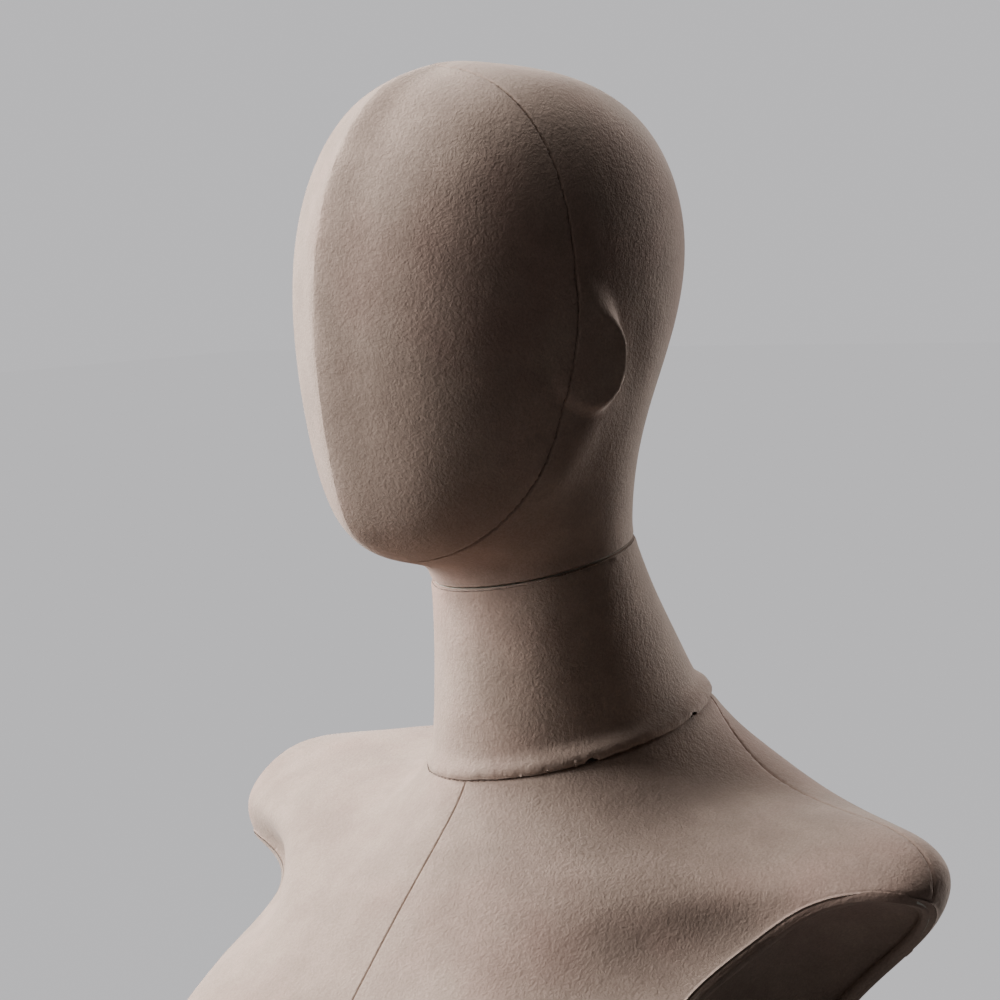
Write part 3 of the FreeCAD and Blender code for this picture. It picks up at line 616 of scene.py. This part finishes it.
def curve_through(knots, count=160):
    """A smooth line through points in a plane (Catmull-Rom)."""
    ends = np.vstack((2 * knots[0] - knots[1], knots, 2 * knots[-1] - knots[-2]))
    result = []
    for i in range(1, len(ends) - 2):
        a, b, c, d = ends[i - 1:i + 3]
        for t in np.linspace(0, 1, count // (len(knots) - 1), endpoint=False):
            result.append(0.5 * (2 * b + (c - a) * t + (2 * a - 5 * b + 4 * c - d) * t ** 2
                                 + (3 * b - a - 3 * c + d) * t ** 3))
    return np.array(result + [knots[-1]])


SEAM_LINE = curve_through(SIDE_SEAM)


def side_seam(p):
    """Signed distance, seen from the side, from the seam before the ears. Negative on the face."""
    q = to_head(p)[:, 1:]
    a, b = SEAM_LINE[:-1], SEAM_LINE[1:]
    along = b - a
    best = np.full(len(q), 9.0)
    sign = np.ones(len(q))
    for i in range(len(a)):
        rel = q - a[i]
        t = np.clip(rel @ along[i] / (along[i] @ along[i]), 0, 1)
        away = rel - t[:, None] * along[i]
        distance = np.hypot(away[:, 0], away[:, 1])
        closer = distance < best
        best[closer] = distance[closer]
        cross = along[i][0] * rel[:, 1] - along[i][1] * rel[:, 0]
        sign[closer] = np.where(cross[closer] > 0, 1, -1)
    return best * sign


def rise(value, low, high):
    """0 below low, 1 above high, smooth between."""
    t = np.clip((value - low) / (high - low), 0, 1)
    return t * t * (3 - 2 * t)


def face_ridge(p):
    """The raised middle line of the face."""
    q = to_head(p)
    height = 3.6 * MM * np.exp(-np.abs(q[:, 0]) / (15 * MM))
    front = rise(-side_seam(p), 2 * MM, 30 * MM)
    return height * front * rise(q[:, 2], 1.580, 1.606)


def ears(p):
    """A plain ear: it rises from the seam, drops steeply behind, and fades up and down the jaw."""
    q = to_head(p)
    y, z = q[:, 1] / MM, q[:, 2] / MM
    away = np.hypot((y + 27) / 21, (z - 1677 + (y + 27) * 0.25) / 27)
    soft = 0.16 + 0.34 * rise(z, 1680, 1704)
    inside = 1 - rise(away, 1 - soft, 1 + 0.6 * soft)
    forward = np.clip((y + 50) / 44, 0, 1) ** 1.5
    mound = 9.0 * inside * forward
    jaw = 2.6 * np.exp(-((y + 26 + (1640 - z) * 0.5) / 14) ** 2)
    jaw = jaw * rise(1672 - z, 0, 30) * rise(z, 1588, 1630)
    hollow = 0.9 * np.exp(-((y - 6) / 11) ** 2) * np.exp(-((z - 1672) / 24) ** 2)
    return (mound + jaw - hollow) * MM * rise(np.abs(q[:, 0]), 0.045, 0.062)


def make_head():
    nodes = ("head_core", "face_cover_left", "face_cover_right", "head_cover_back", "head_board",
             "head_locating_pin")
    bm = outer_skin(nodes, HEAD_VOXEL)
    move_along_normal(bm, lambda p: face_ridge(p) + ears(p))
    joint = plane_field(NECK_JOINT, NECK_UP)
    drop_where(bm, joint, JOINT_GAP)
    middle = lambda p: to_head(p)[:, 0]
    line = seam(bm, side_seam)
    cut_along(bm, middle)
    bm.normal_update()
    sewn = stitches(line_paths(line))
    roll_edge(bm, open_edges(bm), lambda v: NECK_UP * -1, JOINT_RIM)
    bm.normal_update()
    face = lambda p: side_seam(p) < 0
    piece(bm, "face_suede_left", "head", ["face_cover_left"], lambda p: face(p) & (middle(p) > 0))
    piece(bm, "face_suede_right", "head", ["face_cover_right"], lambda p: face(p) & (middle(p) <= 0))
    piece(bm, "head_suede_back", "head", ["head_cover_back"], lambda p: ~face(p))
    piece(sewn, "head_seam_stitches", "head", (), material=THREAD)


# ------------------------------------------------------------ neck
def neck_flare(p):
    """The neck cover's lower end, which turns out over the shoulders, most on the left."""
    height = (p - np.array(NECK_BASE)) @ np.array(NECK_BASE_UP) / MM
    left = np.clip(p[:, 0] / 0.055, -1, 1)
    return (3.0 + 1.3 * left) * MM * (1 - rise(height, 1.5, 12)) ** 1.4


def make_neck():
    nodes = ("neck_core", "neck_cover", "neck_foot_board", "neck_top_board", "neck_strike_plate",
             "head_locating_pin")
    bm = outer_skin(nodes, HEAD_VOXEL)
    top = plane_field(NECK_JOINT, NECK_UP * -1)
    bottom = plane_field(NECK_BASE, NECK_BASE_UP)
    drop_where(bm, top, JOINT_GAP)
    drop_where(bm, bottom, 1.2 * MM)
    outermost(bm)
    for level in (2.2, 3.4, 4.6, 5.8, 7.0, 8.4, 10.0):
        cut_along(bm, bottom, level * MM)
    move_along_normal(bm, neck_flare)
    upper = lambda v: (v - NECK_JOINT).dot(NECK_UP) > -0.02
    lower = lambda v: not upper(v) and (v - NECK_BASE).dot(NECK_BASE_UP) < 2 * MM
    roll_edge(bm, open_edges(bm, upper), lambda v: NECK_UP, JOINT_RIM)
    roll_edge(bm, open_edges(bm, lower), lambda v: NECK_BASE_UP * -1, NECK_HEM)
    bm.normal_update()
    piece(bm, "neck_suede", "torso", ["neck_cover"])


# ------------------------------------------------------------ torso
def hollow_sections(count=240):
    """The arm hollow's middle and half sizes along y: a cubic spline through its rows' weights."""
    rows = np.array(ARM_HOLLOW, float)
    rows[:, 3:] *= (2 + math.cos(math.tau / 32)) / 3
    knots = np.array((0, 0, 0, 0, 1, 2, 3, 3, 3, 3), float)
    result = []
    for t in np.linspace(0, 3 - 1e-9, count):
        weight = ((knots[:-1] <= t) & (t < knots[1:])).astype(float)
        for degree in (1, 2, 3):
            fresh = np.zeros(len(weight) - 1)
            for i in range(len(fresh)):
                low, high = knots[i + degree] - knots[i], knots[i + degree + 1] - knots[i + 1]
                if low > 0:
                    fresh[i] += weight[i] * (t - knots[i]) / low
                if high > 0:
                    fresh[i] += weight[i + 1] * (knots[i + degree + 1] - t) / high
            weight = fresh
        result.append(weight @ rows)
    return np.array(result) * MM


HOLLOW_SECTIONS = hollow_sections()


def hollow_level(p):
    """Across each arm hollow: 1 on the wall of the nearer one, more outside it."""
    y = p[:, 1]
    x, z, wide, tall = (np.interp(y, HOLLOW_SECTIONS[:, 0], HOLLOW_SECTIONS[:, k]) for k in (1, 2, 3, 4))
    drop = np.where(p[:, 0] < 0, ARM_HOLLOW_DROP * MM, 0)
    return np.hypot((np.abs(p[:, 0]) - x) / wide, (p[:, 2] + drop - z) / tall)


def hollow_slope(p):
    """The way in which hollow_level grows, for each point."""
    step = 0.2 * MM
    return np.stack([(hollow_level(p + offset) - hollow_level(p - offset)) / (2 * step)
                     for offset in np.eye(3) * step], axis=1)


def hollow_field(p):
    """Distance outside the nearer arm hollow's wall."""
    steepness = np.linalg.norm(hollow_slope(p), axis=1)
    beyond = np.maximum(HOLLOW_SECTIONS[0, 0] - p[:, 1], p[:, 1] - HOLLOW_SECTIONS[-1, 0])
    return np.maximum((hollow_level(p) - 1) / np.maximum(steepness, 1e-6), beyond)


def toward_hollow(v):
    slope = hollow_slope(np.array([v[:]]))[0]
    return Vector(-slope).normalized()


def torso_side(p):
    """Signed distance from the shoulder and side seam's surface. Negative in front."""
    mirrored = p.copy()
    mirrored[:, 0] = np.abs(p[:, 0])
    return -((mirrored - SHOULDER_SEAM) @ SHOULDER_SEAM_FRONT)


def make_torso():
    nodes = ("torso_core", "torso_cover_front_left", "torso_cover_front_right", "torso_cover_back_left",
             "torso_cover_back_right", "arm_hollow_board_left", "arm_hollow_board_right",
             "arm_hollow_cover_left", "arm_hollow_cover_right", "waist_board_upper", "waist_peg",
             "shoulder_board", "neck_bolts")
    bm = outer_skin(nodes, TORSO_VOXEL)
    waist = plane_field((0, 0, WAIST_UPPER), (0, 0, 1))
    drop_where(bm, waist, 1.5 * MM)
    top = plane_field(NECK_BASE, NECK_BASE_UP * -1)
    drop_where(bm, top, 0.8 * MM)
    drop_where(bm, hollow_field, ARM_RIM)
    outermost(bm)
    middle = lambda p: p[:, 0]
    lines = [seam(bm, torso_side), seam(bm, middle, 0.6 * MM, 0.8 * MM)]
    bm.normal_update()
    sewn = stitches(line_paths(lines[0]))
    at_waist = lambda v: v.z < WAIST_UPPER + 4 * MM
    at_neck = lambda v: abs((v - NECK_BASE).dot(NECK_BASE_UP)) < 3 * MM and abs(v.x) < 0.09
    at_arm = lambda v: not at_waist(v) and not at_neck(v)
    neck_edge = [v for e in open_edges(bm, at_neck) for v in e.verts]
    base_stitches = stitches(line_paths(neck_edge), 3.1 * MM, 2.2 * MM, 0.3 * MM, 0.3 * MM)
    roll_edge(bm, open_edges(bm, at_waist), lambda v: Vector((0, 0, -1)), CUT_RIM)
    roll_edge(bm, open_edges(bm, at_neck), lambda v: NECK_BASE_UP, NECK_OPENING)
    roll_edge(bm, open_edges(bm, at_arm), toward_hollow,
              rounded(ARM_RIM, (ARM_RIM, 7.0 * MM), (ARM_RIM - 3.6 * MM, 8.0 * MM)), 12, True)
    bm.normal_update()
    for name, side in (("left", 1), ("right", -1)):
        piece(bm, "torso_suede_front_" + name, "torso", ["torso_cover_front_" + name],
              lambda p: (torso_side(p) < 0) & (p[:, 0] * side > 0))
        piece(bm, "torso_suede_back_" + name, "torso", ["torso_cover_back_" + name],
              lambda p: (torso_side(p) >= 0) & (p[:, 0] * side > 0))
    piece(sewn, "torso_seam_stitches", "torso", (), material=THREAD)
    piece(base_stitches, "neck_base_stitches", "torso", (), material=THREAD)


def outermost(bm):
    """Keeps only the connected part of a skin that reaches furthest across."""
    bm.verts.index_update()
    edges = np.array([(e.verts[0].index, e.verts[1].index) for e in bm.edges])
    label = parts_of(len(bm.verts), edges)
    place = points(bm)
    across = {k: np.ptp(place[label == k], axis=0).sum() for k in np.unique(label)}
    main = max(across, key=across.get)
    drop = [v for v, k in zip(bm.verts, label) if k != main]
    bmesh.ops.delete(bm, geom=drop, context="VERTS")


def make_arm_hollow(name):
    """The covered panel that closes an arm hollow, from the wall of the CAD panel that faces it.
    It is cut into a fine grid, so that its mesh is as even as the other skins."""
    reach, grid, middle = 3.1 * MM, 4 * MM, Vector((0, 0, 1.35))
    node = "arm_hollow_cover_" + name
    bm = bmesh.new()
    bm.from_mesh(frame["nodes"][node].data)
    bm.faces.index_update()
    away = hollow_field(points(bm))
    bm.verts.index_update()
    hidden = [f for f in bm.faces if max(away[v.index] for v in f.verts) > reach]
    bmesh.ops.delete(bm, geom=hidden, context="FACES")
    bmesh.ops.remove_doubles(bm, verts=bm.verts[:], dist=0.02 * MM)
    for normal in (Vector((0, 1, 0)), Vector((0, 0, 1))):
        for i in range(-60, 61):
            geometry = bm.verts[:] + bm.edges[:] + bm.faces[:]
            bmesh.ops.bisect_plane(bm, geom=geometry, plane_co=middle + normal * (i * grid),
                                   plane_no=normal, dist=1e-6)
    bm.normal_update()
    piece(bm, "arm_hollow_suede_" + name, "torso", [node])


def make_arm_hollow_bands():
    """The fabric that wraps over the shell's edge, between an arm hollow's rim and its panel."""
    tolerance, clear_of_shell, width = 0.9 * MM, 0.4 * MM, 4 * MM
    bm = bmesh.new()
    bm.from_mesh(frame["nodes"]["torso_core"].data)
    bmesh.ops.remove_doubles(bm, verts=bm.verts[:], dist=0.02 * MM)
    bm.verts.index_update()
    away = np.abs(hollow_field(points(bm)) - SHELL_BACK)
    others = [f for f in bm.faces if max(away[v.index] for v in f.verts) > tolerance]
    bmesh.ops.delete(bm, geom=others, context="FACES")
    for v in bm.verts:
        v.co += toward_hollow(v.co) * (SHELL_BACK - clear_of_shell)
    bm.normal_update()
    roll_edge(bm, open_edges(bm), toward_hollow, ((-width, 0),), 0)
    bm.normal_update()
    for name, side in (("left", 1), ("right", -1)):
        piece(bm, "arm_hollow_band_" + name, "torso", (), lambda p: p[:, 0] * side > 0)


# ------------------------------------------------------------ hips and legs
def plug_for_rod():
    """Closes the rod's hole while the left leg's skin is made."""
    bm = bmesh.new()
    height, radius, length = ROD_PLUG
    turn = ROD_UP.to_track_quat("Z", "Y").to_matrix().to_4x4()
    bmesh.ops.create_cone(bm, cap_ends=True, segments=32, radius1=radius, radius2=radius, depth=length,
                          matrix=Matrix.Translation(ROD_FOOT + ROD_UP * height) @ turn)
    mesh = bpy.data.meshes.new("plug")
    bm.to_mesh(mesh)
    bm.free()
    return mesh


def near_groin(p):
    """Where the thighs flow into the hips, but not beside the cut through the right thigh."""
    groin = rise(p[:, 2], *GROIN[:2]) * (1 - rise(p[:, 2], *GROIN[2:]))
    from_cut = np.abs((p - np.array(HIP_CUT)) @ np.array(LEG_OUT))
    beside_cut = (1 - rise(from_cut, 14 * MM, 36 * MM)) * (p[:, 0] < 2 * MIDLINE)
    return groin * (1 - beside_cut)


def rod_field(p):
    rel = p - np.array(ROD_FOOT)
    axis = np.array(ROD_UP)
    height = rel @ axis
    away = np.linalg.norm(rel - np.outer(height, axis), axis=1) - ROD_HOLE
    return np.where(height < ROD_HOLE_TOP, away, 1.0)


def make_hips():
    nodes = ("hip_and_left_leg_core", "hip_cover_front", "hip_cover_back", "left_leg_cover_front",
             "left_leg_cover_back", "hip_board", "hip_keyhole_plate", "waist_board_lower", "waist_socket")
    bm = outer_skin(nodes, LEG_VOXEL, (plug_for_rod(),), near_groin)
    drop_where(bm, plane_field((0, 0, WAIST_LOWER), (0, 0, -1)), CUT_MARGIN)
    cut = plane_field(HIP_CUT, LEG_OUT * -1)
    near_cut = lambda p: np.where(p[:, 0] < MIDLINE, cut(p), 1.0)
    drop_where(bm, near_cut, CUT_MARGIN)
    drop_where(bm, rod_field)
    drop_lining(bm, nodes[1:5])
    outermost(bm)
    at_cut = lambda v: v.x < 2 * MIDLINE and abs((v - HIP_CUT).dot(LEG_OUT)) < CUT_MARGIN + 2 * MM
    at_waist = lambda v: v.z > WAIST_LOWER - CUT_MARGIN - 2 * MM
    for edges, along in ((open_edges(bm, at_cut), LEG_OUT), (open_edges(bm, at_waist), Vector((0, 0, 1)))):
        grow_edge(bm, edges, along, (4 * MM, CUT_MARGIN - 1.6 * MM), ("hip_cover_front", "hip_cover_back"))
    left_out = Vector((-LEG_OUT.x, 0, LEG_OUT.z))
    left_cut = plane_field((-HIP_CUT.x, 0, HIP_CUT.z), left_out)
    thigh = lambda p: np.where(p[:, 0] > -2 * MIDLINE, left_cut(p), -1.0)
    side = lambda p: p[:, 1] - SIDE_LINE
    seam(bm, thigh)
    seam(bm, side)
    at_waist = lambda v: v.z > WAIST_LOWER - 3 * MM
    at_rod = lambda v: v.x > 0.03 and v.z < 0.4
    elsewhere = lambda v: not at_waist(v) and not at_rod(v)
    roll_edge(bm, open_edges(bm, at_waist), lambda v: Vector((0, 0, 1)), CUT_RIM)
    roll_edge(bm, open_edges(bm, elsewhere), lambda v: LEG_OUT, CUT_RIM)
    roll_edge(bm, open_edges(bm, at_rod), toward_rod, ROD_RIM)
    bm.normal_update()
    in_leg = lambda p: thigh(p) > 0
    for name, front in (("front", True), ("back", False)):
        piece(bm, "hip_suede_" + name, "lower_body", ["hip_cover_" + name],
              lambda p: ((side(p) < 0) == front) & ~in_leg(p))
        piece(bm, "left_leg_suede_" + name, "lower_body", ["left_leg_cover_" + name],
              lambda p: ((side(p) < 0) == front) & in_leg(p))


def drop_lining(bm, covers):
    """Throws away the inside wall of the shell, which lies deep under the covers.
    The crotch is left alone, because the smoothed skin stands off the covers there."""
    surface = surface_of(covers)
    lining = []
    half_width, bottom, top = CROTCH
    for face in bm.faces:
        middle = face.calc_center_median()
        at_crotch = abs(middle.x) < half_width and bottom < middle.z < top
        if not at_crotch and surface.find_nearest(middle)[3] > LINING_DEPTH:
            lining.append(face)
    drop_faces(bm, lining)


def toward_rod(v):
    rel = v - ROD_FOOT
    return (ROD_UP * rel.dot(ROD_UP) - rel).normalized()


def make_right_leg():
    nodes = ("right_leg_core", "right_leg_cover_front", "right_leg_cover_back", "right_thigh_board",
             "hip_hook_stud")
    bm = outer_skin(nodes, LEG_VOXEL, relax=near_groin)
    drop_where(bm, plane_field(HIP_CUT, LEG_OUT), CUT_MARGIN)
    outermost(bm)
    grow_edge(bm, open_edges(bm), LEG_OUT * -1, (4 * MM, CUT_MARGIN - 1.6 * MM),
              ("right_leg_cover_front", "right_leg_cover_back"))
    side = lambda p: p[:, 1] - SIDE_LINE
    seam(bm, side)
    roll_edge(bm, open_edges(bm), lambda v: LEG_OUT * -1, CUT_RIM)
    bm.normal_update()
    for name, front in (("front", True), ("back", False)):
        piece(bm, "right_leg_suede_" + name, "right_leg", ["right_leg_cover_" + name],
              lambda p: (side(p) < 0) == front)


# ------------------------------------------------------------ stage, light and camera
CAMERA_PLACE = Vector((0.872, -1.058, 1.732))
CAMERA_AZIMUTH, CAMERA_DOWN, CAMERA_ROLL = (math.radians(a) for a in (40.0, 5.4, -2.7))
CAMERA_LENS = 106.2


def make_camera():
    data = bpy.data.cameras.new("camera")
    data.lens = CAMERA_LENS
    data.sensor_width = 36.0
    camera = bpy.data.objects.new("camera", data)
    bpy.context.scene.collection.objects.link(camera)
    forward = Vector((-math.sin(CAMERA_AZIMUTH) * math.cos(CAMERA_DOWN),
                      math.cos(CAMERA_AZIMUTH) * math.cos(CAMERA_DOWN), -math.sin(CAMERA_DOWN)))
    right = Vector((math.cos(CAMERA_AZIMUTH), math.sin(CAMERA_AZIMUTH), 0))
    up = right.cross(forward)
    tilted_right = right * math.cos(CAMERA_ROLL) + up * math.sin(CAMERA_ROLL)
    tilted_up = up * math.cos(CAMERA_ROLL) - right * math.sin(CAMERA_ROLL)
    camera.matrix_world = Matrix((
        (tilted_right.x, tilted_up.x, -forward.x, CAMERA_PLACE.x),
        (tilted_right.y, tilted_up.y, -forward.y, CAMERA_PLACE.y),
        (tilted_right.z, tilted_up.z, -forward.z, CAMERA_PLACE.z),
        (0, 0, 0, 1)))
    bpy.context.scene.camera = camera
    return right, forward


def area_light(name, place, target, size, power, colour):
    data = bpy.data.lights.new(name, "AREA")
    data.shape = "RECTANGLE"
    data.size, data.size_y = size
    data.energy = power
    data.color = colour
    light = bpy.data.objects.new(name, data)
    bpy.context.scene.collection.objects.link(light)
    light.location = place
    light.rotation_mode = "QUATERNION"
    light.rotation_quaternion = (target - place).to_track_quat("-Z", "Y")


def seen_and_lit(tree, seen, lit, output):
    """Uses one shader for what is seen or mirrored and the other for the light that it gives."""
    mix = tree.nodes.new("ShaderNodeMixShader")
    path = tree.nodes.new("ShaderNodeLightPath")
    either = tree.nodes.new("ShaderNodeMath")
    either.operation = "MAXIMUM"
    tree.links.new(path.outputs["Is Camera Ray"], either.inputs[0])
    tree.links.new(path.outputs["Is Glossy Ray"], either.inputs[1])
    tree.links.new(either.outputs[0], mix.inputs[0])
    tree.links.new(lit.outputs[0], mix.inputs[1])
    tree.links.new(seen.outputs[0], mix.inputs[2])
    tree.links.new(mix.outputs[0], output)


BACKGROUND = (0.665, 0.66, 0.68)
BOUNCE = (1.0, 0.80, 0.73)  # the room's faint warm light

# Each light: metres right of, behind and above the bust, as the camera sees it, its size, watts, colour.
LIGHTS = (
    ("key", (-1.7, 1.1, 1.1), (1.2, 1.6), 135, (1.0, 0.975, 0.95)),
    ("side", (-2.1, -0.35, 0.9), (0.9, 1.4), 72, (1.0, 0.975, 0.95)),
    ("top", (-0.4, 0.3, 2.4), (1.2, 1.0), 40, (1.0, 0.98, 0.96)),
    ("rim", (1.7, 1.6, 0.4), (0.8, 1.6), 50, (1.0, 0.985, 0.97)),
    ("front", (-1.5, -1.5, 1.3), (1.2, 1.2), 4, (1.0, 0.94, 0.90)),
)


def floor_paper():
    """A pale paper floor that runs evenly into the background."""
    n = Nodes("floor")
    pale = n.ramp(n.noise(0.8, 3, 0.5), ((0.3, (0.13, 0.129, 0.131)), (0.7, (0.15, 0.149, 0.151))))
    n.finish(pale, 0.95, None, Specular_IOR_Level=0.0)
    glow = n.add("ShaderNodeEmission")
    glow.inputs["Color"].default_value = (*BACKGROUND, 1)
    glow.inputs["Strength"].default_value = 0.965
    both = n.add("ShaderNodeAddShader")
    n.link(n.shader.outputs[0], both.inputs[0])
    n.link(glow.outputs[0], both.inputs[1])
    output = next(node for node in n.tree.nodes if node.type == "OUTPUT_MATERIAL")
    seen_and_lit(n.tree, both, n.shader, output.inputs["Surface"])
    return n.material


def make_stage(right, forward):
    mesh = bpy.data.meshes.new("floor")
    corners = [(x * FLOOR_HALF, y * FLOOR_HALF, FLOOR) for x, y in ((-1, -1), (1, -1), (1, 1), (-1, 1))]
    mesh.from_pydata(corners, [], [(0, 1, 2, 3)])
    mesh.materials.append(floor_paper())
    floor = bpy.data.objects.new("floor", mesh)
    bpy.context.scene.collection.objects.link(floor)

    bust = Vector((0, 0, 1.50))
    back = Vector((forward.x, forward.y, 0)).normalized()
    up = Vector((0, 0, 1))
    for name, (to_right, to_back, to_top), size, power, colour in LIGHTS:
        place = bust + right * to_right + back * to_back + up * to_top
        area_light(name, place, bust, size, power, colour)

    world = bpy.data.worlds.new("studio")
    bpy.context.scene.world = world
    world.use_nodes = True
    tree = world.node_tree
    tree.nodes.clear()
    seen, lit = tree.nodes.new("ShaderNodeBackground"), tree.nodes.new("ShaderNodeBackground")
    seen.inputs["Color"].default_value = (*BACKGROUND, 1)
    seen.inputs["Strength"].default_value = 1.0
    lit.inputs["Color"].default_value = (*BOUNCE, 1)
    lit.inputs["Strength"].default_value = 0.014
    output = tree.nodes.new("ShaderNodeOutputWorld")
    seen_and_lit(tree, seen, lit, output.inputs["Surface"])


dress_frame()
make_head()
make_neck()
make_torso()
make_arm_hollow("left")
make_arm_hollow("right")
make_arm_hollow_bands()
make_hips()
make_right_leg()
camera_right, camera_forward = make_camera()
make_stage(camera_right, camera_forward)
